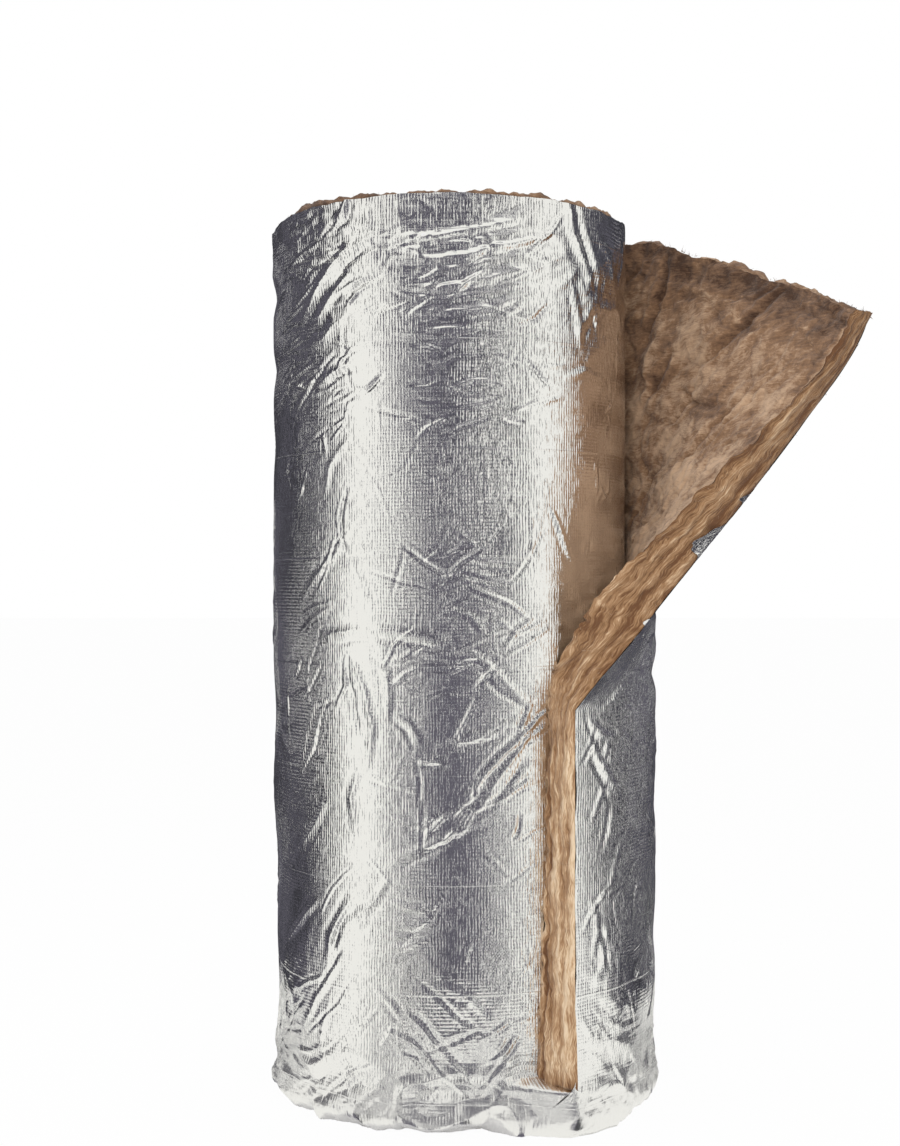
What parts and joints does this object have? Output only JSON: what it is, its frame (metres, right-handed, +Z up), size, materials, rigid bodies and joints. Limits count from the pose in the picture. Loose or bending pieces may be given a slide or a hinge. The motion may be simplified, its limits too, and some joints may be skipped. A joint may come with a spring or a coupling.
{
  "type": "insulation roll",
  "caption": "Upright roll of foil-faced glass wool blanket, its outer end loose, with the top corner peeled back to show the brown wool.",
  "frame": {"origin": "on the axis of the roll's bore, at the floor it stands on", "axes": "+Z up along the bore, -Y towards the side that shows the upright cut edge, +X towards the peeled corner"},
  "size_m": [0.7831, 0.5197, 1.2],
  "materials": {
    "glass_wool": "matt brown bonded glass fibre, loose and ragged at its cut edges",
    "aluminium_foil": "bright crinkled foil laminate with a fine reinforcing scrim"
  },
  "bodies": {
    "root": {"glass_wool_blanket": "glass_wool", "foil_facing": "aluminium_foil"}
  },
  "joints": []
}
